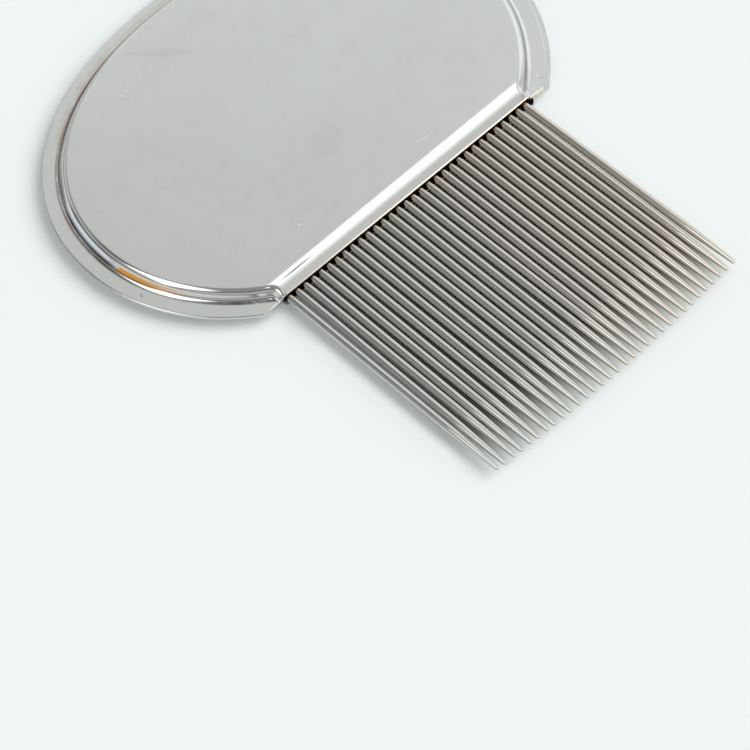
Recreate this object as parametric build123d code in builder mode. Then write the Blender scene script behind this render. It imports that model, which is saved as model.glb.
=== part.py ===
"""Flea comb: an oval handle of two pressed stainless sheets, and a row of steel pins held in its mouth.

Frame, in millimetres. The origin is the centre of the handle's oval, on the flat outside of the rear
sheet. +X runs along the row of teeth, +Y points away from the teeth, +Z comes out of the front.
"""
import os
from math import acos, asin, atan, cos, degrees, pi, radians, sin, sqrt, tan

from build123d import *

os.makedirs("parts", exist_ok=True)

# handle outline
half_width = 37.05  # half the oval, along the row
front_depth = 31.2  # from the middle of the oval towards the teeth, an ellipse
top_depth = 29.85  # from the middle of the oval away from the teeth, a little squarer
top_fullness = 2.16  # 2 is an ellipse, more is squarer
oval_shift = -0.12  # the oval's middle is this far beside the middle of the row
oval_points = 72
mouth_y = -22.4  # the straight cut across the oval, where the teeth come out
corner_radius = 0.5
rim_grow = 0.1  # the rim is cut this much wider than the oval of the pressing
rim_aside = -0.12  # and off its middle, along the row
rim_ahead = -0.15  # and towards the teeth, away from the mouth only
rim_settle = 5.0  # the rim is back on the oval over this distance behind the mouth

# pressed sheet
sheet = 0.4
rise = 1.8  # from the joint between the two sheets to the outside of a panel
flange_width = 2.25
wall_run = 1.0  # how far the sloping wall moves inward as it climbs
panel_radius = 0.9
foot_radius = 0.8
turn_radius = 0.8  # where the side walls turn straight behind the mouth

# mouth: the panel bends down towards the teeth
mouth_half = 23.1  # half the raised width, at the foot of its side walls
mouth_side_run = 0.75
lip_reach = 0.2  # the lip stands this far in front of the flange
lip_height = 1.08  # outside of the lip above the joint
bevel_angle = 22.8
bend_radius = 5.9

# rear sheet sits a little to one side of the front sheet
rear_shift = 0.6
rear_drop = 0.2  # and a little further towards the teeth
rear_turn = -0.4

# spot welds, by angle round the oval
weld_angles = [-136.5, -43.0, -164.5, -15.5, 140.0, 40.0, 90.0]
weld_inset = 0.9
weld_depth = 0.06
weld_ball = 3.0

# teeth
tooth_count = 32
pitch = 1.4
tooth_diameter = 1.16
row_shift = 0.03  # the row stands this far beside the middle
tip_diameter = 0.62
taper_length = 9.0
middle_reach = 40.03  # from the mouth to the tip of the middle teeth
end_short = 0.87  # the end teeth stop this much earlier
row_slant = 0.09  # and the row of tips runs this much out of square towards +X
root_depth = 5.2  # how far the pins reach behind the mouth
paired_teeth = 10
paired_lean = 0.11
other_lean = 0.03
bent_teeth = {11: 0.17, 16: 0.2, 17: 0.2, 19: -0.08}  # by number from the -X end

# inside the handle
bar_front = 2.2
bar_back = 5.2
bar_half_length = 22.6
bar_half_height = 0.9
potting_front = 0.6
potting_back = 6.6

joint_z = rise
wall_height = rise - sheet
past_mouth = mouth_y - 4.0


def oval_point(inset, angle):
    """A point of the oval inset from the handle's edge. The angle in radians runs from +X towards +Y."""
    if sin(angle) < 0:
        depth = front_depth
        fullness = 2.0
    else:
        depth = top_depth
        fullness = top_fullness
    reach = (abs(cos(angle)) ** fullness + abs(sin(angle)) ** fullness) ** (-1 / fullness)
    return (oval_shift + (half_width - inset) * cos(angle) * reach, (depth - inset) * sin(angle) * reach)


def rim_point(inset, angle):
    """A point inset from the rim, which is cut a little off the middle of the pressing."""
    oval_x, oval_y = oval_point(inset, angle)
    share = min(max((oval_y - mouth_y) / rim_settle, 0), 1)
    return (oval_x + share * (rim_aside + rim_grow * cos(angle)), oval_y + share * rim_ahead)


def oval_curve_points(inset, start, end):
    step = (end - start) / oval_points
    return [oval_point(inset, start + step * number) for number in range(oval_points + 1)]


def draw_raised_outline(inset, half_mouth):
    """Oval inset from the handle's edge, with straight sides running down past the mouth."""
    start = -acos((half_mouth - oval_shift) / (half_width - inset))
    end = pi + acos((half_mouth + oval_shift) / (half_width - inset))
    with BuildLine() as outline:
        oval = Spline(*oval_curve_points(inset, start, end))
        Polyline(oval @ 1, (-half_mouth, past_mouth), (half_mouth, past_mouth), oval @ 0)
    make_face(outline.edges())


def draw_mouth_cut(thickness, top):
    """Side view, Y then Z, of everything outside the lip and above the bent-down panel."""
    slope = radians(bevel_angle)
    lip_y = mouth_y - lip_reach
    bend_z = joint_z + rise - bend_radius
    radius = bend_radius - thickness
    bend_y = lip_y + (rise - lip_height - bend_radius * (1 - cos(slope))) / tan(slope) + bend_radius * sin(slope)
    bend_start = (bend_y, bend_z + radius)
    bend_middle = (bend_y - radius * sin(slope / 2), bend_z + radius * cos(slope / 2))
    bend_end = (bend_y - radius * sin(slope), bend_z + radius * cos(slope))
    lip_z = bend_end[1] - (bend_end[0] - lip_y) * tan(slope)
    with BuildLine() as side_view:
        ThreePointArc(bend_start, bend_middle, bend_end)
        Polyline(
            bend_end,
            (lip_y, lip_z),
            (lip_y, joint_z - 1),
            (past_mouth - 2, joint_z - 1),
            (past_mouth - 2, top),
            (bend_y, top),
            bend_start,
        )
    make_face(side_view.edges())


wall_slant = sqrt(wall_run**2 + wall_height**2)
side_slant = sqrt(mouth_side_run**2 + wall_height**2)
cavity_inset = flange_width + sheet * wall_slant / wall_height - sheet * wall_run / wall_height
cavity_half = mouth_half - sheet * side_slant / wall_height + sheet * mouth_side_run / wall_height

with BuildPart() as front_cavity:
    with BuildSketch(Plane.XY.offset(joint_z)):
        draw_raised_outline(cavity_inset, cavity_half)
    with BuildSketch(Plane.XY.offset(joint_z + wall_height)):
        draw_raised_outline(cavity_inset + wall_run, cavity_half - mouth_side_run)
    loft(ruled=True)
    with BuildSketch(Plane.YZ):
        draw_mouth_cut(sheet, joint_z + rise + 1)
    extrude(amount=half_width, both=True, mode=Mode.SUBTRACT)

with BuildPart() as front_shell:
    # raised panel, its side walls turning straight just behind the mouth
    with BuildSketch(Plane.XY.offset(joint_z + sheet)):
        draw_raised_outline(flange_width, mouth_half)
    with BuildSketch(Plane.XY.offset(joint_z + rise)):
        draw_raised_outline(flange_width + wall_run, mouth_half - mouth_side_run)
    loft(ruled=True)
    upright_edges = front_shell.edges().filter_by(lambda edge: edge.bounding_box().size.Z > 1)
    fillet(upright_edges.filter_by(lambda edge: edge.center().Y > mouth_y - 1), radius=turn_radius)
    top_edges = front_shell.edges().group_by(Axis.Z)[-1]
    fillet(top_edges.filter_by(lambda edge: edge.center().Y > past_mouth + 0.1), radius=panel_radius)
    with BuildSketch(Plane.YZ):
        draw_mouth_cut(0, joint_z + rise + 1)
    extrude(amount=half_width, both=True, mode=Mode.SUBTRACT)
    # flat flange
    with BuildSketch(Plane.XY.offset(joint_z)):
        with BuildLine():
            chord_turn = asin(-mouth_y / front_depth)
            rim_step = (pi + 2 * chord_turn) / oval_points
            rim = Spline(*[rim_point(0, -chord_turn + rim_step * number) for number in range(oval_points + 1)])
            Line(rim @ 1, rim @ 0)
        make_face()
    extrude(amount=sheet)
    flange_top = joint_z + sheet
    flange_edges = front_shell.edges().filter_by(lambda edge: abs(edge.bounding_box().center().Z - flange_top) < 0.01)
    inner_edges = flange_edges.filter_by(lambda edge: edge.bounding_box().size.X < 2 * half_width - 2)
    foot_edges = inner_edges.filter_by(lambda edge: edge.center().Y > mouth_y + 0.01)
    fillet(foot_edges, radius=foot_radius)
    rim_corners = front_shell.edges().filter_by(Axis.Z).filter_by(lambda edge: abs(edge.center().X) > 25)
    fillet(rim_corners, radius=corner_radius)
    add(front_cavity.part, mode=Mode.SUBTRACT)
    # spot welds leave shallow round dents in the flange
    for angle in weld_angles:
        weld_x, weld_y = rim_point(weld_inset, radians(angle))
        with Locations((weld_x, weld_y, joint_z + sheet + weld_ball - weld_depth)):
            Sphere(weld_ball, mode=Mode.SUBTRACT)
front_shell.part.label = "front_shell"

# the rear sheet is the same pressing turned over
rear_place = Location((rear_shift, -rear_drop, joint_z), (0, 0, rear_turn)) * Location((0, 0, -joint_z))
rear_source = mirror(front_shell.part, about=Plane.XY.offset(joint_z))
rear_hollow = mirror(front_cavity.part, about=Plane.XY.offset(joint_z))
with BuildPart() as rear_shell:
    add(rear_place * rear_source)
rear_shell.part.label = "rear_shell"

teeth = []
for index in range(tooth_count):
    from_middle = (index - (tooth_count - 1) / 2) / ((tooth_count - 1) / 2)
    tooth_x = row_shift + (index - (tooth_count - 1) / 2) * pitch
    reach = middle_reach - end_short * from_middle**2 - row_slant * from_middle
    if index in bent_teeth:
        lean = bent_teeth[index]
    elif index < paired_teeth:
        lean = paired_lean * (1 - 2 * (index % 2))
    else:
        lean = other_lean * sin(2.4 * index * index)
    with BuildPart() as tooth:
        with BuildSketch():
            with BuildLine():
                radius = tooth_diameter / 2
                tip = tip_diameter / 2
                shoulder = root_depth - 0.2
                straight_end = taper_length - reach
                tip_centre = tip - reach
                tip_side = tip * sin(pi / 4)
                Polyline((0, -reach), (0, root_depth), (radius - 0.2, root_depth), (radius, shoulder), (radius, straight_end))
                Line((radius, straight_end), (tip, tip_centre))
                ThreePointArc((tip, tip_centre), (tip_side, tip_centre - tip_side), (0, -reach))
            make_face()
        revolve(axis=Axis.Y)
    tooth_place = Location((tooth_x, mouth_y, joint_z), (0, 0, degrees(atan(lean / reach))))
    with BuildPart() as placed_tooth:
        add(tooth_place * tooth.part)
    placed_tooth.part.label = f"tooth_{index + 1:02d}"
    teeth.append(placed_tooth.part)

with BuildPart() as tooth_bar:
    with BuildSketch(Plane.XY.offset(joint_z - bar_half_height)):
        with Locations((0, mouth_y + (bar_front + bar_back) / 2)):
            Rectangle(2 * bar_half_length, bar_back - bar_front)
    extrude(amount=2 * bar_half_height)
    add(teeth, mode=Mode.SUBTRACT)
tooth_bar.part.label = "tooth_bar"

with BuildPart() as root_potting:
    add(front_cavity.part)
    add(rear_place * rear_hollow)
    with BuildSketch(Plane.XY.offset(-1)):
        with Locations((0, mouth_y + (potting_front + potting_back) / 2)):
            Rectangle(2 * half_width, potting_back - potting_front)
    extrude(amount=2 * rise + 2, mode=Mode.INTERSECT)
    add(tooth_bar.part, mode=Mode.SUBTRACT)
    add(teeth, mode=Mode.SUBTRACT)
root_potting.part.label = "root_potting"

for piece in [front_shell.part, rear_shell.part, tooth_bar.part, root_potting.part, *teeth]:
    export_step(piece, f"parts/{piece.label}.step")
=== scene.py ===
"""Looks for the flea comb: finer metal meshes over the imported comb, on a pale floor in soft studio light.

Everything is in metres in the comb's own frame: +X along the row of teeth, +Y from the tips to the
handle, +Z out of the front. The origin is the middle of the handle's oval, on the rear panel.
"""
import math

import bpy
import numpy as np
from mathutils import Matrix, Vector


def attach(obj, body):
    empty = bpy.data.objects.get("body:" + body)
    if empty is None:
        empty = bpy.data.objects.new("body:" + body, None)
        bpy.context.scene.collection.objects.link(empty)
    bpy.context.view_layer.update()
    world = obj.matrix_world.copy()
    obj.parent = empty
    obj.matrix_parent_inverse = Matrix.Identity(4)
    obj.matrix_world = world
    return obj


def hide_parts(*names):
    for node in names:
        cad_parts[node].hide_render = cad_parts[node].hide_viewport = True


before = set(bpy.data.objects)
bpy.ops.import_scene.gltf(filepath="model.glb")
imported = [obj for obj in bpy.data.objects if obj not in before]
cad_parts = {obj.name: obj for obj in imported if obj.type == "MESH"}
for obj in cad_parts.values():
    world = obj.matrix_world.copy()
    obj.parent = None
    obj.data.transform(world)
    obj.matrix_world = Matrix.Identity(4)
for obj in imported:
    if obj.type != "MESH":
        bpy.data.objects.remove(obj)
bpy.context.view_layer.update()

MM = 0.001

# handle, as pressed (mm)
HALF_WIDTH = 37.05
FRONT_DEPTH = 31.2
TOP_DEPTH = 29.85
TOP_FULLNESS = 2.16
OVAL_SHIFT = -0.12
RIM_GROW = 0.1
RIM_ASIDE = -0.12
RIM_AHEAD = -0.15
RIM_SETTLE = 5.0
MOUTH_Y = -22.4
JOINT_Z = 1.8
SHEET = 0.4
RISE = 1.8
FLANGE = 2.25
WALL_RUN = 1.0
MOUTH_HALF = 23.1
SIDE_RUN = 0.75
LIP_REACH = 0.2
LIP_HEIGHT = 1.08
BEVEL = math.radians(22.8)
BEND_RADIUS = 5.9
FOOT_RADIUS = 0.85
PANEL_RADIUS = 0.9
LIP_SIDE_RADIUS = 0.8
TOP_TURN = 1.1
FOOT_TURN = 0.7
LIP_FOOT_RADIUS = 0.5
CUT_ROUND = 0.03
ROLL_WIDTH = 0.22
ROLL_DROP = 0.07
REAR_SHIFT = 0.6
REAR_DROP = 0.2
REAR_TURN = math.radians(-0.4)
WELD_ANGLES = (-136.5, -43.0, -164.5, -15.5, 140.0, 40.0, 90.0)
WELD_INSET = 0.9
DENT_DEPTH = 0.005
DENT_RADIUS = 0.45
DENT_RING = 0.0015
DENT_RING_RADIUS = 0.8
DENT_RING_WIDTH = 0.2
WAVE_DEPTH = 0.010
EDGE_WOBBLE = 0.006

# teeth (mm)
TOOTH_COUNT = 32
PITCH = 1.4
TOOTH_RADIUS = 0.58
ROW_SHIFT = 0.03
TIP_RADIUS = 0.31
TAPER = 9.0
REACH = 40.03
END_SHORT = 0.87
ROW_SLANT = 0.09
ROOT = 5.2
PAIRED = 10
PAIRED_LEAN = 0.11
OTHER_LEAN = 0.03
BENT_TEETH = {11: 0.17, 16: 0.2, 17: 0.2, 19: -0.08}
TOOTH_SIDES = 40


def link(obj):
    bpy.context.scene.collection.objects.link(obj)
    return obj


def mesh_object(name, points, faces, material, smooth=True):
    """A mesh piece from points in mm."""
    mesh = bpy.data.meshes.new(name)
    mesh.from_pydata([tuple(p) for p in np.asarray(points) * MM], [], faces)
    mesh.polygons.foreach_set("use_smooth", [smooth] * len(mesh.polygons))
    mesh.update()
    mesh.materials.append(material)
    return link(bpy.data.objects.new(name, mesh))


# ---------------------------------------------------------------- materials


class Graph:
    """Short hand for building a node tree."""

    def __init__(self, tree):
        self.tree = tree
        tree.nodes.clear()

    def node(self, kind, inputs=None, **settings):
        made = self.tree.nodes.new(kind)
        for key, value in settings.items():
            setattr(made, key, value)
        for key, value in (inputs or {}).items():
            if isinstance(value, bpy.types.NodeSocket):
                self.tree.links.new(value, made.inputs[key])
            else:
                made.inputs[key].default_value = value
        return made

    def math(self, operation, first, second=0.0, third=0.0, clamp=False):
        inputs = {0: first, 1: second, 2: third}
        made = self.node("ShaderNodeMath", inputs, operation=operation, use_clamp=clamp)
        return made.outputs[0]

    def step(self, value, start, end):
        """0 below start, 1 above end, smooth between."""
        inputs = {"Value": value, "From Min": start, "From Max": end}
        made = self.node("ShaderNodeMapRange", inputs, interpolation_type="SMOOTHSTEP")
        return made.outputs[0]

    def band(self, value, start, end, soft):
        """1 between start and end, 0 outside, soft edges."""
        rise = self.step(value, start - soft, start + soft)
        fall = self.step(value, end - soft, end + soft)
        return self.math("SUBTRACT", rise, fall, clamp=True)

    def mix(self, factor, first, second, blend="MIX"):
        inputs = {0: factor, 6: first, 7: second}
        made = self.node("ShaderNodeMix", inputs, data_type="RGBA", blend_type=blend)
        return made.outputs[2]

    def noise(self, vector, scale, detail=2.0, rough=0.5):
        inputs = {"Vector": vector, "Scale": scale, "Detail": detail, "Roughness": rough}
        return self.node("ShaderNodeTexNoise", inputs).outputs["Fac"]

    def stretched(self, vector, scale):
        inputs = {"Vector": vector, "Scale": scale}
        return self.node("ShaderNodeMapping", inputs).outputs[0]

    def mark(self, base, place, x, y, long, wide, turned, strength, colour):
        """Tints a small soft ellipse: centre and half sizes in mm, turned in degrees."""
        c, s = math.cos(math.radians(turned)), math.sin(math.radians(turned))
        split = self.node("ShaderNodeSeparateXYZ", {0: place}).outputs
        dx = self.math("SUBTRACT", split[0], x * MM)
        dy = self.math("SUBTRACT", split[1], y * MM)
        along = self.math("ADD", self.math("MULTIPLY", dx, c), self.math("MULTIPLY", dy, s))
        across = self.math("SUBTRACT", self.math("MULTIPLY", dy, c), self.math("MULTIPLY", dx, s))
        u = self.math("DIVIDE", along, long * MM)
        v = self.math("DIVIDE", across, wide * MM)
        r = self.math("ADD", self.math("MULTIPLY", u, u), self.math("MULTIPLY", v, v))
        return self.mix(self.math("MULTIPLY", self.step(r, 1.0, 0.0), strength), base, (*colour, 1))


def new_material(name):
    material = bpy.data.materials.new(name)
    material.use_nodes = True
    return material, Graph(material.node_tree)


# colours of the marks of wear, and of a painted reflection line
PALE = (0.95, 0.95, 0.95)
GREY = (0.42, 0.42, 0.42)
REFLECTION_DARK = (0.16, 0.16, 0.18)
RUST = (0.42, 0.30, 0.16)
OLIVE = (0.50, 0.45, 0.26)


# where the tints, painted shade and painted reflections run on the sheet, as distances inside the rim (mm)
TAN_BAND = (1.95, 2.40)
FOOT_SHADE_BAND = (2.36, 2.78)
TOP_SHADE_LINE = (2.35, 3.25)
TOP_HAZE = (1.3, 2.4)
MOUTH_FOOT_DARK = (1.98, 2.42)
AMBER_REFLECTION_BAND = (2.42, 3.02)
# and round the oval, as turns from +X towards +Y (radians)
RIGHT_SIDE = (-0.85, 0.9)
TOP_SIDE = (1.5, 2.35)
TOP_RIM_HIGHLIGHT = (1.6, 2.6)
LEFT_OF_MOUTH = (-2.58, -2.15)


def oval_place(g, x, y):
    """How far a point is inside the handle's rim, in mm, and its turn round the oval in radians."""
    across = g.math("DIVIDE", g.math("SUBTRACT", x, OVAL_SHIFT * MM), HALF_WIDTH * MM)
    front = g.math("DIVIDE", g.math("MINIMUM", y, 0.0), FRONT_DEPTH * MM)
    back = g.math("DIVIDE", g.math("MAXIMUM", y, 0.0), TOP_DEPTH * MM)
    along = g.math("ADD", front, back)
    power = g.math("MULTIPLY_ADD", g.step(y, -1 * MM, 1 * MM), TOP_FULLNESS - 2.0, 2.0)
    sum_x = g.math("POWER", g.math("ABSOLUTE", across), power)
    sum_y = g.math("POWER", g.math("ABSOLUTE", along), power)
    level = g.math("POWER", g.math("ADD", sum_x, sum_y), g.math("DIVIDE", 1.0, power))
    steep_x = g.math("POWER", g.math("DIVIDE", across, HALF_WIDTH), 2.0)
    steep_y = g.math("POWER", g.math("DIVIDE", along, FRONT_DEPTH), 2.0)
    slope = g.math("SQRT", g.math("ADD", steep_x, steep_y))
    inset = g.math("DIVIDE", g.math("SUBTRACT", 1.0, level), slope)
    return inset, g.math("ARCTAN2", along, across)


def tan_tint_and_painted_shade(g, base, inset, turn, patchy):
    """Tan lines along the foot of the wall, and dark lines of painted shade in its crease, strongest on the
    left and round the top; on the far left the dark is partly a tint.
    """
    far = g.step(turn, 1.6, 2.2)
    near = g.step(turn, -3.02, -3.12)
    tinted = g.math("MULTIPLY_ADD", g.math("MAXIMUM", far, near), 0.75, 0.12)
    tan = g.math("MULTIPLY", g.band(inset, *TAN_BAND, 0.22), g.math("MULTIPLY", tinted, patchy))
    base = g.mix(tan, base, (0.50, 0.40, 0.31, 1))
    # painted shade: dark lines in the crease at the foot of the wall, darkest on the right, round the top
    # and on the left
    rightmost = g.band(turn, *RIGHT_SIDE, 0.1)
    leftmost = g.math("MAXIMUM", g.step(turn, 2.72, 2.95), near)
    lower = g.math("MULTIPLY_ADD", rightmost, -0.30, inset)
    lower = g.math("MULTIPLY_ADD", leftmost, -0.06, lower)
    darker = g.math("MULTIPLY_ADD", rightmost, 0.62, tinted)
    foot_shade = g.math("MULTIPLY", g.band(lower, *FOOT_SHADE_BAND, 0.10), darker)
    deep_shade = g.mix(leftmost, (0.27, 0.225, 0.25, 1), (0.11, 0.115, 0.15, 1))
    base = g.mix(foot_shade, base, deep_shade)
    # the painted shade line runs up onto the wall round the top, with a brown haze beside it
    over_top = g.band(turn, *TOP_SIDE, 0.15)
    line = g.math("MULTIPLY", g.band(inset, *TOP_SHADE_LINE, 0.15), over_top)
    base = g.mix(g.math("MULTIPLY", line, 0.8), base, (0.27, 0.21, 0.22, 1))
    haze = g.math("MULTIPLY", g.band(inset, *TOP_HAZE, 0.4), g.math("MULTIPLY", over_top, patchy))
    return g.mix(g.math("MULTIPLY", haze, 0.45), base, (0.54, 0.47, 0.38, 1))


def foot_dark_and_painted_reflections(g, base, inset, turn, patchy):
    """Blue-black on the foot left of the mouth; a straw painted highlight on the top rim; a painted amber
    reflection on the lower left wall.
    """
    beside_mouth = g.math("MULTIPLY", g.band(turn, *LEFT_OF_MOUTH, 0.12), patchy)
    foot = g.math("MULTIPLY", g.band(inset, *MOUTH_FOOT_DARK, 0.12), beside_mouth)
    base = g.mix(g.math("MULTIPLY", foot, 0.8), base, (0.17, 0.17, 0.21, 1))
    # painted highlight: straw along the top rim
    edge = g.math("MULTIPLY", g.step(inset, 0.25, 0.0), g.band(turn, *TOP_RIM_HIGHLIGHT, 0.2))
    base = g.mix(g.math("MULTIPLY", edge, 0.6), base, (0.72, 0.66, 0.48, 1))
    # painted reflection: an amber patch on the lower left wall, starting sharp on a slant and fading out
    slanted = g.math("MULTIPLY_ADD", g.math("SUBTRACT", inset, 2.75), -0.035, turn)
    start = g.step(slanted, -3.075, -3.035)
    fade = g.step(turn, -2.58, -2.97)
    amber_reflection = g.math("MULTIPLY", g.band(inset, *AMBER_REFLECTION_BAND, 0.10), g.math("MULTIPLY", start, fade))
    return g.mix(amber_reflection, base, (0.66, 0.31, 0.06, 1))


def specks(g, base, place):
    """Tiny light and dark specks, scattered at random."""
    cells = g.node("ShaderNodeTexVoronoi", {"Vector": place, "Scale": 150}, feature="F1").outputs
    chance = g.node("ShaderNodeSeparateColor", {0: cells["Color"]}).outputs
    near = g.step(cells["Distance"], 0.035, 0.012)
    tone = g.mix(g.math("GREATER_THAN", chance[0], 0.6), (0.40, 0.40, 0.40, 1), (0.92, 0.92, 0.92, 1))
    return g.mix(g.math("MULTIPLY", near, g.step(chance[1], 0.45, 0.7)), base, tone)


def wear_and_painted_reflection(g, base, place):
    """Seven marks, placed one by one: six of use, and a dark line that is a painted reflection."""
    # on the panel: a long smear, a smudge in the middle, a scratch behind the lip
    base = g.mark(base, place, x=-6.5, y=20.5, long=6.5, wide=1.0, turned=-45, strength=0.17, colour=GREY)
    base = g.mark(base, place, x=-1.5, y=-8, long=4, wide=3, turned=20, strength=0.12, colour=GREY)
    base = g.mark(base, place, x=7.5, y=-17.5, long=2, wide=0.15, turned=-10, strength=0.4, colour=PALE)
    # a painted reflection: a dark line in the bend's highlight, by the left end of the lip
    base = g.mark(base, place, x=-18.5, y=-20.7, long=3.5, wide=0.15, turned=0, strength=1, colour=REFLECTION_DARK)
    # on the flange: a scratch and a nick beside the mouth, rust by the rim
    base = g.mark(base, place, x=-25.5, y=-20, long=1, wide=0.1, turned=-70, strength=0.9, colour=PALE)
    base = g.mark(base, place, x=26.5, y=-21, long=0.6, wide=0.15, turned=-45, strength=0.8, colour=OLIVE)
    return g.mark(base, place, x=-35, y=-8, long=0.6, wide=0.3, turned=60, strength=0.45, colour=RUST)


def cut_edge_tint(g, base, y, z, patchy):
    """Brown on the cut edge of the front lip and, in patches, on the flange's cut edge either side."""
    lip = g.math("MULTIPLY", g.step(y, -22.53 * MM, -22.56 * MM), g.step(z, 2.3 * MM, 2.4 * MM))
    base = g.mix(g.math("MULTIPLY", lip, 0.85), base, (0.42, 0.24, 0.11, 1))
    low = g.band(z, 1.80 * MM, 1.93 * MM, 0.02 * MM)
    cut = g.math("MULTIPLY", g.step(y, -22.395 * MM, -22.41 * MM), low)
    return g.mix(g.math("MULTIPLY", cut, g.math("MULTIPLY", patchy, 0.8)), base, (0.30, 0.20, 0.12, 1))


def sheet_steel(name):
    material, g = new_material(name)
    place = g.node("ShaderNodeTexCoord").outputs["Object"]
    x, y, z = g.node("ShaderNodeSeparateXYZ", {0: place}).outputs
    inset, turn = oval_place(g, x, y)
    smudge = g.noise(place, 70, 3, 0.55)
    fine = g.noise(place, 420, 3, 0.6)
    patchy = g.step(g.noise(g.stretched(place, (420, 420, 420)), 1.0, 3, 0.6), 0.25, 0.6)
    base = g.mix(smudge, (0.70, 0.715, 0.70, 1), (0.64, 0.652, 0.64, 1))
    base = g.mix(g.math("MULTIPLY", g.step(fine, 0.45, 0.75), 0.25), base, (0.60, 0.60, 0.585, 1))
    base = tan_tint_and_painted_shade(g, base, inset, turn, patchy)
    base = foot_dark_and_painted_reflections(g, base, inset, turn, patchy)
    base = specks(g, base, place)
    base = wear_and_painted_reflection(g, base, place)
    base = cut_edge_tint(g, base, y, z, patchy)
    rough = g.math("MULTIPLY_ADD", smudge, 0.05, 0.075)
    lines = g.noise(g.stretched(place, (2600, 90, 500)), 1.0, 2, 0.6)
    peel = g.noise(place, 900, 2, 0.5)
    height = g.math("ADD", g.math("MULTIPLY", lines, 0.35), g.math("MULTIPLY", peel, 0.65))
    bump = g.node("ShaderNodeBump", {"Height": height, "Strength": 0.04, "Distance": 0.00002})
    surface = g.node(
        "ShaderNodeBsdfPrincipled",
        {"Base Color": base, "Metallic": 1.0, "Roughness": rough, "Normal": bump.outputs[0]},
    )
    g.node("ShaderNodeOutputMaterial", {0: surface.outputs[0]})
    return material


def pin_steel(name):
    material, g = new_material(name)
    place = g.node("ShaderNodeTexCoord").outputs["Object"]
    x, y, _ = g.node("ShaderNodeSeparateXYZ", {0: place}).outputs
    side = g.step(x, -22 * MM, 22 * MM)
    base = g.mix(side, (0.60, 0.61, 0.59, 1), (0.66, 0.615, 0.55, 1))
    stain = g.noise(g.stretched(place, (900, 160, 900)), 1.0, 3, 0.6)
    base = g.mix(g.math("MULTIPLY", stain, 0.35), base, (0.46, 0.44, 0.41, 1))
    # painted shade: each pin darkens towards the mouth, where the lip shades it and is reflected in it
    base = g.mix(g.step(y, -22.85 * MM, -22.45 * MM), base, (0.03, 0.025, 0.03, 1))
    grind = g.node(
        "ShaderNodeTexWave",
        {"Vector": place, "Scale": 3100.0, "Distortion": 1.5, "Detail": 1.0},
        wave_type="BANDS",
        bands_direction="Y",
    )
    rough = g.math("MULTIPLY_ADD", stain, 0.08, 0.07)
    height = grind.outputs["Fac"]
    bump = g.node("ShaderNodeBump", {"Height": height, "Strength": 0.025, "Distance": 0.00001})
    surface = g.node(
        "ShaderNodeBsdfPrincipled",
        {"Base Color": base, "Metallic": 1.0, "Roughness": rough, "Normal": bump.outputs[0]},
    )
    g.node("ShaderNodeOutputMaterial", {0: surface.outputs[0]})
    return material


def bar_steel(name):
    material, g = new_material(name)
    place = g.node("ShaderNodeTexCoord").outputs["Object"]
    marks = g.noise(g.stretched(place, (120, 2500, 2500)), 1.0, 3, 0.6)
    base = g.mix(marks, (0.42, 0.41, 0.39, 1), (0.52, 0.51, 0.49, 1))
    bump = g.node("ShaderNodeBump", {"Height": marks, "Strength": 0.3, "Distance": 0.00002})
    surface = g.node(
        "ShaderNodeBsdfPrincipled",
        {"Base Color": base, "Metallic": 1.0, "Roughness": 0.35, "Normal": bump.outputs[0]},
    )
    g.node("ShaderNodeOutputMaterial", {0: surface.outputs[0]})
    return material


# near black with lumps, for the fill round the pin roots in the mouth
def near_black_root_fill(name):
    material, g = new_material(name)
    place = g.node("ShaderNodeTexCoord").outputs["Object"]
    lumps = g.noise(place, 700, 4, 0.6)
    base = g.mix(lumps, (0.010, 0.009, 0.008, 1), (0.030, 0.022, 0.016, 1))
    bump = g.node("ShaderNodeBump", {"Height": lumps, "Strength": 0.5, "Distance": 0.0001})
    rough = g.math("MULTIPLY_ADD", lumps, 0.2, 0.25)
    surface = g.node(
        "ShaderNodeBsdfPrincipled",
        {"Base Color": base, "Roughness": rough, "Normal": bump.outputs[0]},
    )
    g.node("ShaderNodeOutputMaterial", {0: surface.outputs[0]})
    return material


# ---------------------------------------------------------------- pressed sheets


def mouth_height(y):
    """Outside height above the joint of the panel where it bends down to the lip (mm)."""
    lip_y = MOUTH_Y - LIP_REACH
    bend_rise = BEND_RADIUS * (1 - math.cos(BEVEL))
    flat_run = (RISE - LIP_HEIGHT - bend_rise) / math.tan(BEVEL)
    bend_y = lip_y + flat_run + BEND_RADIUS * math.sin(BEVEL)
    down = np.clip(bend_y - y, 0, None)
    arc = RISE - BEND_RADIUS + np.sqrt(np.clip(BEND_RADIUS**2 - down**2, 0, None))
    plane = LIP_HEIGHT + (y - lip_y) * math.tan(BEVEL)
    return np.where(down > BEND_RADIUS * math.sin(BEVEL), plane, arc)


def oval(inset, t):
    """Points of the handle's oval, inset (mm): an ellipse below, a little squarer at the top."""
    c, s = np.cos(t), np.sin(t)
    depth = np.where(s < 0, FRONT_DEPTH, TOP_DEPTH)
    power = np.where(s < 0, 2.0, TOP_FULLNESS)
    reach = (np.abs(c) ** power + np.abs(s) ** power) ** (-1 / power)
    return np.stack([(HALF_WIDTH - inset) * c * reach, (depth - inset) * s * reach], -1)


def oval_turn(inset, x):
    """Parameter of the lower right point of an inset oval at that x."""
    return -math.acos(x / (HALF_WIDTH - inset))


def rounded(corner, arrive, leave, radius, steps):
    """Points of a fillet of that radius between two unit directions that meet at each corner."""
    cosine = np.clip((arrive * leave).sum(-1, keepdims=True), -1, 1)
    turn = np.arccos(cosine)
    side = leave - cosine * arrive
    side = side / np.maximum(np.linalg.norm(side, axis=-1, keepdims=True), 1e-9)
    reach = radius * np.tan(turn / 2)
    points = []
    for k in range(steps + 1):
        angle = turn * k / steps
        across = np.sin(angle) * arrive + (1 - np.cos(angle)) * side
        points.append(corner - arrive * reach + radius * across)
    return points


def unit(v):
    return v / np.maximum(np.linalg.norm(v, axis=-1, keepdims=True), 1e-12)


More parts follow.
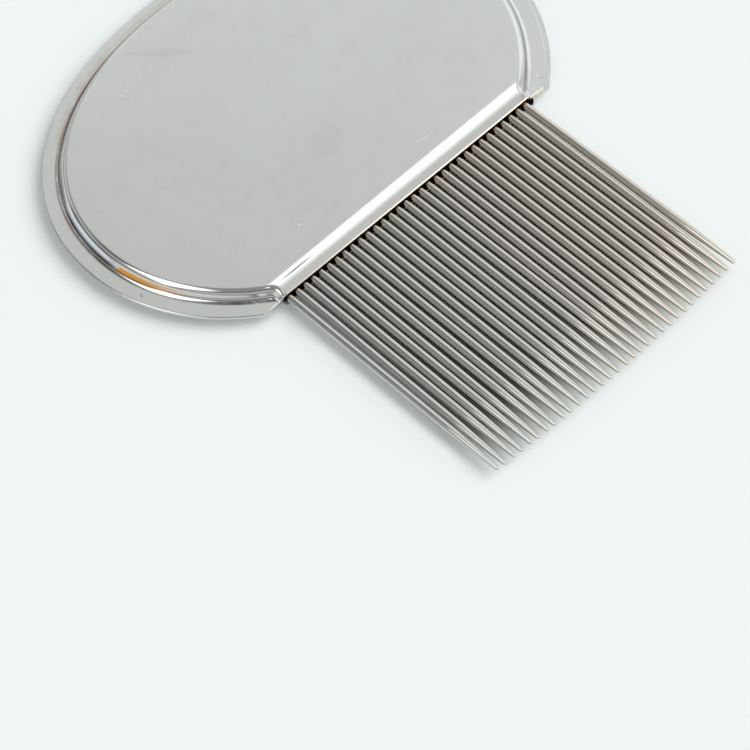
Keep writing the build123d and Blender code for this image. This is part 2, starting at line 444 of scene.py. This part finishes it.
def raised_line(inset, x0, start_y, turn, mouth_rows, rows):
    """Plan of one edge of the wall from the mouth to the top, and the y of its corner before rounding."""
    t0 = oval_turn(inset, x0)
    corner = np.array([x0, (FRONT_DEPTH - inset) * math.sin(t0)])
    leave = oval(inset, t0 + 1e-4) - corner
    t1 = t0 + turn / (np.linalg.norm(leave) / 1e-4)
    first = corner - (0, turn)
    last = oval(inset, t1)
    straight = first[1] - start_y
    line = []
    for k in range(mouth_rows):
        run = (straight + 2 * turn) * k / mouth_rows
        f = max(run - straight, 0) / (2 * turn)
        if f == 0:
            line.append((x0, start_y + run))
        else:
            line.append(tuple((1 - f) ** 2 * first + 2 * f * (1 - f) * corner + f * f * last))
    t = t1 + (math.pi / 2 - t1) * np.linspace(0, 1, rows)
    return np.concatenate([line, oval(inset, t)]), last[1]


def half_sheet():
    """Right half of the outside surface: rows from the mouth to the top, columns from the rim inward."""
    mouth_rows = 44
    rows = 380
    inner = 6.5
    beside_mouth = np.linspace(0, 1, mouth_rows + 1)[:-1]
    round_oval = np.linspace(0, 1, rows)
    lip_y = MOUTH_Y - LIP_REACH

    # the wall's top and foot: straight behind the mouth, round the turn, then the oval
    top_x0 = MOUTH_HALF - SIDE_RUN
    top, top_y0 = raised_line(FLANGE + WALL_RUN, top_x0, lip_y, TOP_TURN, mouth_rows, rows)
    top = np.c_[top, np.full(len(top), RISE)]
    foot, _ = raised_line(FLANGE, MOUTH_HALF, MOUTH_Y, FOOT_TURN, mouth_rows, rows)
    foot = np.c_[foot, np.full(len(foot), SHEET)]

    # the rim, its corner at the mouth rounded
    corner_t = -math.acos(math.sqrt(1 - (MOUTH_Y / FRONT_DEPTH) ** 2))
    first_t = corner_t + 0.03
    t = corner_t + (first_t - corner_t) * beside_mouth
    xy = oval(0, t)
    rim = np.c_[xy, np.full(mouth_rows, SHEET)]
    rim[0, 0] -= 0.22
    rim[1, 0] -= 0.12
    rim[1, 1] += 0.01
    rim[2, 0] -= 0.05
    rim[2, 1] += 0.02
    t = first_t + (math.pi / 2 - first_t) * round_oval
    xy = oval(0, t)
    rim = np.concatenate([rim, np.c_[xy, np.full(rows, SHEET)]])

    # a line inside the panel where the ring of the wall ends
    ring_t0 = math.asin(top_y0 / (FRONT_DEPTH - inner))
    ring_x0 = (HALF_WIDTH - inner) * math.cos(ring_t0)
    ring_y = lip_y + (top_y0 - lip_y) * beside_mouth
    ring = np.stack([np.full(mouth_rows, ring_x0), ring_y, np.full(mouth_rows, RISE)], -1)
    t = ring_t0 + (math.pi / 2 - ring_t0) * round_oval
    xy = oval(inner, t)
    ring = np.concatenate([ring, np.c_[xy, np.full(rows, RISE)]])

    out_dir = unit(foot - rim)
    climb = unit(top - foot)
    in_dir = unit(ring - top)
    blend = np.clip(np.arange(len(top)) / (mouth_rows * 1.2), 0, 1)[:, None]
    foot_radius = LIP_FOOT_RADIUS + (FOOT_RADIUS - LIP_FOOT_RADIUS) * blend
    top_radius = LIP_SIDE_RADIUS + (PANEL_RADIUS - LIP_SIDE_RADIUS) * blend
    low = rounded(foot, out_dir, climb, foot_radius, 9)
    high = rounded(top, climb, in_dir, top_radius, 10)

    columns = []
    flange_steps = 14
    wall_steps = 4
    for k in range(flange_steps):
        columns.append(rim + (low[0] - rim) * (k / flange_steps) ** 1.7)
    columns += low
    for k in range(1, wall_steps):
        columns.append(low[-1] + (high[0] - low[-1]) * k / wall_steps)
    columns += high
    ring_steps = 5
    for k in range(1, ring_steps + 1):
        columns.append(high[-1] + (ring - high[-1]) * (k / ring_steps) ** 1.5)
    centre_steps = 14
    for k in range(1, centre_steps + 1):
        point = ring.copy()
        point[:, 0] *= 1 - k / centre_steps
        columns.append(point)
    return np.stack(columns, 1)


def bend_mouth(points):
    """Brings the panel and its side walls down to the lip."""
    share = (points[..., 2] - SHEET) / (RISE - SHEET)
    down = RISE - mouth_height(points[..., 1])
    behind = np.clip((points[..., 1] - MOUTH_Y) / 1.5, 0, 1)
    outward = down * SIDE_RUN / (RISE - SHEET) * share * (1 - behind * behind)
    points[..., 0] += outward * np.clip(points[..., 0] / (MOUTH_HALF - SIDE_RUN), -1, 1)
    points[..., 2] -= down * share


def rolled_edge(points):
    """The blanking die drags the outside surface down a little along every cut edge."""
    rolled = points.copy()
    for border in (points[:, :1], points[:, -1:], points[:1, :]):
        away = np.linalg.norm(points - border, axis=-1)
        near = np.clip(1 - away / ROLL_WIDTH, 0, 1)
        rolled[..., 2] -= ROLL_DROP * near * near
    return rolled


def weld_dents(points):
    """Shallow round dents with a faint raised ring, where the two flanges are spot welded."""
    for angle in WELD_ANGLES:
        cx, cy = oval(WELD_INSET, math.radians(angle))
        r = np.hypot(points[..., 0] - cx, points[..., 1] - cy)
        points[..., 2] -= DENT_DEPTH * np.exp(-((r / DENT_RADIUS) ** 2))
        points[..., 2] += DENT_RING * np.exp(-(((r - DENT_RING_RADIUS) / DENT_RING_WIDTH) ** 2))


def panel_waves(points):
    """The flat panel is very slightly uneven."""
    x, y = points[..., 0], points[..., 1]
    level = np.hypot(x / (HALF_WIDTH - 7), (y + 0.5) / (FRONT_DEPTH - 7))
    inside = np.clip((1.0 - level) / 0.25, 0, 1)
    inside = inside * inside * (3 - 2 * inside) * np.clip((y - MOUTH_Y - 3) / 4, 0, 1)
    wave = np.sin(x * 0.21 + 0.8) * np.cos(y * 0.17 - 0.4) + 0.6 * np.sin(x * 0.43 - y * 0.31 + 2.0)
    points[..., 2] -= WAVE_DEPTH * (1.2 + wave) * inside


def shift_rim(points):
    """The rim is cut a little wider than the pressing and off its middle, away from the mouth only."""
    x, y = points[..., 0], points[..., 1]
    depth = np.where(y < 0, FRONT_DEPTH, TOP_DEPTH) - FLANGE
    level = np.hypot(x / (HALF_WIDTH - FLANGE), y / depth)
    out = np.clip((level - 1) * HALF_WIDTH / FLANGE, 0, 1) * np.clip((y - MOUTH_Y) / RIM_SETTLE, 0, 1)
    points[..., 0] += out * (RIM_ASIDE + RIM_GROW * x / HALF_WIDTH)
    points[..., 1] += out * RIM_AHEAD


def shift_oval(points):
    """The oval sits a little beside the middle of the row; the mouth doesn't."""
    behind = (points[..., 1] - MOUTH_Y) / 5
    beside = (np.abs(points[..., 0]) - 23.6) / 2
    share = np.clip(np.maximum(behind, beside), 0, 1)
    points[..., 0] += OVAL_SHIFT * share * share * (3 - 2 * share)


def grid_normals(grid):
    du = np.gradient(grid, axis=0)
    dv = np.gradient(grid, axis=1)
    return unit(np.cross(dv, du))


def sheet_mesh():
    """Closed mesh of one pressed sheet, height measured from the joint: (points, faces)."""
    half = half_sheet()
    full = np.concatenate([half, half[:, -2::-1] * (-1, 1, 1)], axis=1)
    bend_mouth(full)
    weld_dents(full)
    panel_waves(full)
    shift_rim(full)
    shift_oval(full)
    rows, cols = full.shape[:2]
    normal = grid_normals(full)
    normal[-1, :] = (0, 0, 1)
    normal = np.where(normal[..., 2:3] < 0, -normal, normal)
    inside = full - SHEET * normal
    full = rolled_edge(full)

    # one round of the border: right rim upward, over the top, left rim down, along the mouth
    border = [(i, 0) for i in range(rows)]
    border += [(i, cols - 1) for i in range(rows - 2, -1, -1)]
    border += [(0, j) for j in range(cols - 2, 0, -1)]

    points = []
    index = {}

    def put(key, point):
        if key not in index:
            index[key] = len(points)
            points.append(point)
        return index[key]

    pole_half = (cols - 1) // 2

    def key(i, j, side):
        """Top row: both halves share the points of the middle line."""
        if i == rows - 1 and j > pole_half:
            return (side, i, cols - 1 - j)
        return (side, i, j)

    faces = []
    # outward direction at the border, in the surface
    place = np.array([full[i, j] for i, j in border])
    facing = np.array([normal[i, j] for i, j in border])
    ahead = unit(np.roll(place, -1, 0) - np.roll(place, 1, 0))
    outward = unit(np.cross(ahead, facing))
    count = np.arange(len(border))
    wobble = EDGE_WOBBLE * (np.sin(3.1 * count) + np.sin(0.7 * count + 1))
    for k, (i, j) in enumerate(border):
        full[i, j] = place[k] - outward[k] * CUT_ROUND
        inside[i, j] = inside[i, j] - outward[k] * CUT_ROUND
    for side, surface in (("out", full), ("in", inside)):
        for i in range(rows - 1):
            for j in range(cols - 1):
                corners = [(i, j), (i + 1, j), (i + 1, j + 1), (i, j + 1)]
                ids = []
                for a, b in corners:
                    here = put(key(a, b, side), surface[a, b])
                    if here not in ids:
                        ids.append(here)
                if len(ids) > 2:
                    faces.append(ids if side == "in" else ids[::-1])
    # rounded cut edge from the outside surface to the inside one
    previous = [index[key(i, j, "out")] for i, j in border]
    cut = SHEET - ROLL_DROP
    levels = []
    for step in range(1, 4):
        angle = math.pi / 2 * step / 3
        levels.append((CUT_ROUND * math.sin(angle), CUT_ROUND * (1 - math.cos(angle))))
    levels.append((CUT_ROUND, cut - CUT_ROUND))
    for step in range(1, 4):
        angle = math.pi / 2 * step / 3
        levels.append((CUT_ROUND * math.cos(angle), cut - CUT_ROUND * (1 - math.sin(angle))))
    for number, (out, down) in enumerate(levels):
        if number == len(levels) - 1:
            ring = [index[key(i, j, "in")] for i, j in border]
        else:
            ring = []
            for k, (i, j) in enumerate(border):
                base = full[i, j] + outward[k] * (out + wobble[k] * math.sin(math.pi * down / cut))
                ring.append(put(("edge", number, k), base - facing[k] * down))
        for k in range(len(border)):
            n = (k + 1) % len(border)
            faces.append([previous[k], ring[k], ring[n], previous[n]])
        previous = ring
    return np.array(points), faces


def place_front(points):
    return points + (0, 0, JOINT_Z)


def place_rear(points):
    c, s = math.cos(REAR_TURN), math.sin(REAR_TURN)
    x = c * points[:, 0] - s * points[:, 1] + REAR_SHIFT
    y = s * points[:, 0] + c * points[:, 1] - REAR_DROP
    return np.stack([x, y, JOINT_Z - points[:, 2]], -1)


# ---------------------------------------------------------------- teeth


def tooth_profile(reach):
    """(radius, distance along the tooth) from the root end to the tip."""
    profile = [(0.0, ROOT), (TOOTH_RADIUS - 0.2, ROOT), (TOOTH_RADIUS, ROOT - 0.2)]
    straight = reach - TAPER
    for k in range(13):
        profile.append((TOOTH_RADIUS, ROOT - 0.4 - (ROOT - 0.4 + straight) * k / 12))
    neck = TIP_RADIUS - reach
    for k in range(1, 13):
        f = k / 12
        ease = f**1.25
        radius = TOOTH_RADIUS + (TIP_RADIUS - TOOTH_RADIUS) * ease
        profile.append((radius, -straight + (neck + straight) * f))
    for k in range(1, 9):
        a = math.pi / 2 * k / 8
        profile.append((TIP_RADIUS * math.cos(a), neck - TIP_RADIUS * math.sin(a)))
    return profile


def tooth_mesh(index):
    middle = (TOOTH_COUNT - 1) / 2
    x = ROW_SHIFT + (index - middle) * PITCH
    from_middle = (index - middle) / middle
    reach = REACH - END_SHORT * from_middle**2 - ROW_SLANT * from_middle
    if index in BENT_TEETH:
        lean = BENT_TEETH[index]
    elif index < PAIRED:
        lean = PAIRED_LEAN * (1 - 2 * (index % 2))
    else:
        lean = OTHER_LEAN * math.sin(2.4 * index * index)
    turn = math.atan(lean / reach)
    c, s = math.cos(turn), math.sin(turn)
    points = []
    faces = []
    profile = tooth_profile(reach)
    rings = []
    for radius, along in profile:
        if radius < 1e-6:
            rings.append([len(points)])
            points.append((x - s * along, MOUTH_Y + c * along, JOINT_Z))
            continue
        ring = []
        for k in range(TOOTH_SIDES):
            a = 2 * math.pi * k / TOOTH_SIDES
            px, pz = radius * math.cos(a), radius * math.sin(a)
            ring.append(len(points))
            points.append((x + c * px - s * along, MOUTH_Y + s * px + c * along, JOINT_Z + pz))
        rings.append(ring)
    for a, b in zip(rings, rings[1:]):
        for k in range(TOOTH_SIDES):
            n = (k + 1) % TOOTH_SIDES
            if len(a) == 1:
                faces.append([a[0], b[k], b[n]])
            elif len(b) == 1:
                faces.append([a[k], b[0], a[n]])
            else:
                faces.append([a[k], b[k], b[n], a[n]])
    return points, faces


sheet_material = sheet_steel("sheet_steel")
pin_material = pin_steel("pin_steel")
bar_material = bar_steel("bar_steel")
root_fill_material = near_black_root_fill("near_black_root_fill")

sheet_points, sheet_faces = sheet_mesh()
front = mesh_object("front_sheet", place_front(sheet_points), sheet_faces, sheet_material)
rear = mesh_object("rear_sheet", place_rear(sheet_points), [f[::-1] for f in sheet_faces], sheet_material)
for piece, node in ((front, "front_shell"), (rear, "rear_shell")):
    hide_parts(node)
    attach(piece, "root")

for index in range(TOOTH_COUNT):
    points, faces = tooth_mesh(index)
    node = f"tooth_{index + 1:02d}"
    pin = mesh_object(f"pin_{index + 1:02d}", points, faces, pin_material)
    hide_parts(node)
    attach(pin, "root")

for node, material in (("tooth_bar", bar_material), ("root_potting", root_fill_material)):
    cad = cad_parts[node]
    cad.data.materials.clear()
    cad.data.materials.append(material)

# ---------------------------------------------------------------- floor, light, camera

AMBIENT = 0.41
KEY = 1.58
KEY_FROM = (0.64, -0.56, 1.0)
GLOW = 0.116
BESIDE_GLOW = 0.08
FLOOR_HALF = 3000  # mm


def floor():
    material, g = new_material("floor")
    place = g.node("ShaderNodeTexCoord").outputs["Object"]
    x, y, _ = g.node("ShaderNodeSeparateXYZ", {0: place}).outputs
    # deep shade under the row of teeth
    beside = g.band(x, -20.3 * MM, 21.6 * MM, 0.7 * MM)
    along = g.step(y, -62.2 * MM, -53.0 * MM)
    behind = g.step(y, -18.0 * MM, -20.0 * MM)
    shade = g.math("MULTIPLY", beside, g.math("MULTIPLY", along, behind))
    base = g.mix(shade, (0.885, 0.935, 0.935, 1), (0.36, 0.37, 0.34, 1))
    glow = g.math("MULTIPLY_ADD", shade, -GLOW, GLOW)
    # light thrown back beside the row
    strip = g.band(x, -24.3 * MM, -22.9 * MM, 0.5 * MM)
    beside_row = g.math("MULTIPLY", strip, g.band(y, -57.0 * MM, -28.0 * MM, 3.0 * MM))
    glow = g.math("MULTIPLY_ADD", beside_row, BESIDE_GLOW, glow)
    surface = g.node(
        "ShaderNodeBsdfPrincipled",
        {
            "Base Color": base,
            "Roughness": 0.7,
            "Specular IOR Level": 0.0,
            "Emission Color": (0.945, 1.0, 1.0, 1),
            "Emission Strength": glow,
        },
    )
    g.node("ShaderNodeOutputMaterial", {0: surface.outputs[0]})
    half = FLOOR_HALF
    points = [(-half, -half, 0), (half, -half, 0), (half, half, 0), (-half, half, 0)]
    obj = mesh_object("floor", points, [[0, 1, 2, 3]], material)


def studio_world():
    """A soft studio as a light map by direction, for reflections: overhead boxes, ceiling, walls.

    Diffuse surfaces get an even fill instead, and the camera sees a plain background.
    """
    world = bpy.data.worlds.new("studio")
    bpy.context.scene.world = world
    world.use_nodes = True
    g = Graph(world.node_tree)
    way = g.node("ShaderNodeTexCoord").outputs["Generated"]
    x, y, z = g.node("ShaderNodeSeparateXYZ", {0: way}).outputs
    west = g.math("ARCTAN2", y, g.math("MULTIPLY", x, -1.0))

    def lit(factor, level, tint=(1, 1, 1)):
        nonlocal colour
        colour = g.mix(factor, colour, (level * tint[0], level * tint[1], level * tint[2], 1))

    def both(first, second):
        return g.math("MULTIPLY", first, second)

    def panel(cx, cy, long, wide, turn, soft):
        """A turned rectangle seen from below: 1 inside, soft edges."""
        dx = g.math("SUBTRACT", x, cx)
        dy = g.math("SUBTRACT", y, cy)
        c, s = math.cos(math.radians(turn)), math.sin(math.radians(turn))
        along = g.math("ADD", g.math("MULTIPLY", dx, c), g.math("MULTIPLY", dy, s))
        across = g.math("SUBTRACT", g.math("MULTIPLY", dy, c), g.math("MULTIPLY", dx, s))
        return both(g.band(along, -long, long, soft), g.band(across, -wide, wide, soft))

    colour = g.mix(0.0, (0.34, 0.337, 0.325, 1), (0, 0, 0, 1))
    lit(g.step(x, -0.02, 0.12), 0.46)
    lit(both(g.band(x, -0.80, -0.50, 0.04), g.band(y, 0.40, 0.58, 0.03)), 0.47)
    lit(both(g.band(x, -0.40, -0.04, 0.05), g.band(y, 0.40, 0.58, 0.03)), 0.15)
    # far side: pale ridge above a darker skirting
    lit(both(g.band(z, 0.30, 0.62, 0.06), g.step(y, 0.55, 0.66)), 0.72, (0.98, 1.0, 1.03))
    lit(both(g.step(z, 0.34, 0.24), g.step(y, 0.55, 0.66)), 0.43, (1.0, 0.98, 0.97))
    # left wall, in bands by height
    lit(both(g.band(west, 0.42, 1.10, 0.06), g.step(z, 0.50, 0.42)), 0.16, (0.9, 0.95, 1.15))
    lit(both(g.band(west, -0.05, 0.42, 0.08), g.step(z, 0.62, 0.50)), 0.42, (1.02, 1.0, 0.96))
    southwest = g.band(west, -1.3, -0.18, 0.10)
    lit(both(southwest, g.step(z, 0.85, 0.70)), 0.24, (0.97, 0.98, 1.08))
    lit(both(southwest, g.step(z, 0.60, 0.54)), 0.66)
    lit(both(southwest, g.step(z, 0.40, 0.36)), 0.22, (0.97, 0.98, 1.08))
    lit(both(g.band(west, -0.95, 0.50, 0.10), g.step(z, 0.33, 0.27)), 0.86)
    lit(both(g.band(west, 0.50, 0.90, 0.06), g.step(z, 0.18, 0.12)), 0.95, (0.96, 1.0, 1.03))
    # right half: bright ceiling and wall
    right = both(g.step(x, 0.03, 0.28), g.step(y, 0.72, 0.62))
    lit(right, 0.745, (0.985, 1.0, 0.985))
    diagonal = g.step(g.math("ADD", x, y), 0.82, 0.94)
    lit(both(g.step(x, 0.15, 0.28), diagonal), 0.89, (0.985, 1.0, 1.0))
    lit(both(g.step(x, 0.55, 0.88), g.step(y, 0.9, 0.6)), 1.22, (0.975, 1.0, 1.0))
    lit(both(g.step(y, -0.02, -0.16), g.step(x, -0.1, 0.1)), 0.765, (1.0, 0.99, 0.97))
    # the two overhead boxes
    far_end = g.step(g.math("MULTIPLY_ADD", x, 0.2, y), 0.335, 0.300)
    lit(both(panel(-0.52, 0.17, 0.36, 0.18, 50, 0.05), far_end), 2.6)
    near_end = g.step(y, -0.12, 0.17)
    top_end = g.step(g.math("MULTIPLY_ADD", x, -0.55, y), 0.270, 0.195)
    right_end = g.step(g.math("MULTIPLY_ADD", y, 0.3, x), 0.566, 0.542)
    lit(both(both(near_end, top_end), both(g.step(x, 0.258, 0.282), right_end)), 1.6)
    # a warm glow low in front, for the tips and the lip
    low_front = both(g.step(y, -0.30, -0.42), g.step(y, -0.93, -0.86))
    lit(both(low_front, g.band(x, -0.30, 0.22, 0.03)), 2.8, (1.0, 0.95, 0.88))
    lit(both(low_front, g.step(x, 0.29, 0.40)), 2.3, (1.0, 0.95, 0.86))
    light = g.node("ShaderNodeBackground", {"Color": colour, "Strength": 1.0})
    fill = g.node("ShaderNodeBackground", {"Color": (1.0, 1.0, 1.0, 1), "Strength": AMBIENT})
    plain = g.node("ShaderNodeBackground", {"Color": (0.871, 0.922, 0.922, 1), "Strength": 1.0})
    path = g.node("ShaderNodeLightPath").outputs
    diffuse = path["Is Diffuse Ray"]
    direct = path["Is Camera Ray"]
    soft = g.node("ShaderNodeMixShader", {0: diffuse, 1: light.outputs[0], 2: fill.outputs[0]})
    seen = g.node("ShaderNodeMixShader", {0: direct, 1: soft.outputs[0], 2: plain.outputs[0]})
    g.node("ShaderNodeOutputWorld", {0: seen.outputs[0]})


def key_light():
    """A broad light from the right, for the soft shadows on the left of the comb."""
    data = bpy.data.lights.new("key", "SUN")
    data.energy = KEY
    data.angle = math.radians(50)
    obj = link(bpy.data.objects.new("key", data))
    obj.rotation_euler = Vector(KEY_FROM).to_track_quat("Z", "Y").to_euler()
    obj.visible_glossy = False


def camera():
    """Looks down at the comb from the lower left of its front, turned about its own axis."""
    azimuth, elevation, roll = math.radians(-34.64), math.radians(55.38), math.radians(-10.33)
    target = Vector((-22.39, MOUTH_Y - 17.36, JOINT_Z)) * MM
    distance = 410.7 * MM
    back = Vector(
        (
            math.sin(azimuth) * math.cos(elevation),
            -math.cos(azimuth) * math.cos(elevation),
            math.sin(elevation),
        )
    )
    right = Vector((math.cos(azimuth), math.sin(azimuth), 0))
    up = back.cross(right)
    turned_right = right * math.cos(roll) + up * math.sin(roll)
    turned_up = up * math.cos(roll) - right * math.sin(roll)
    data = bpy.data.cameras.new("camera")
    data.sensor_width = 36
    data.lens = 153.2
    data.clip_start = 0.01
    data.clip_end = 20
    obj = link(bpy.data.objects.new("camera", data))
    place = Matrix((turned_right, turned_up, back)).transposed().to_4x4()
    place.translation = target + back * distance
    obj.matrix_world = place
    bpy.context.scene.camera = obj


floor()
studio_world()
key_light()
camera()
bpy.context.scene.view_settings.view_transform = "Standard"
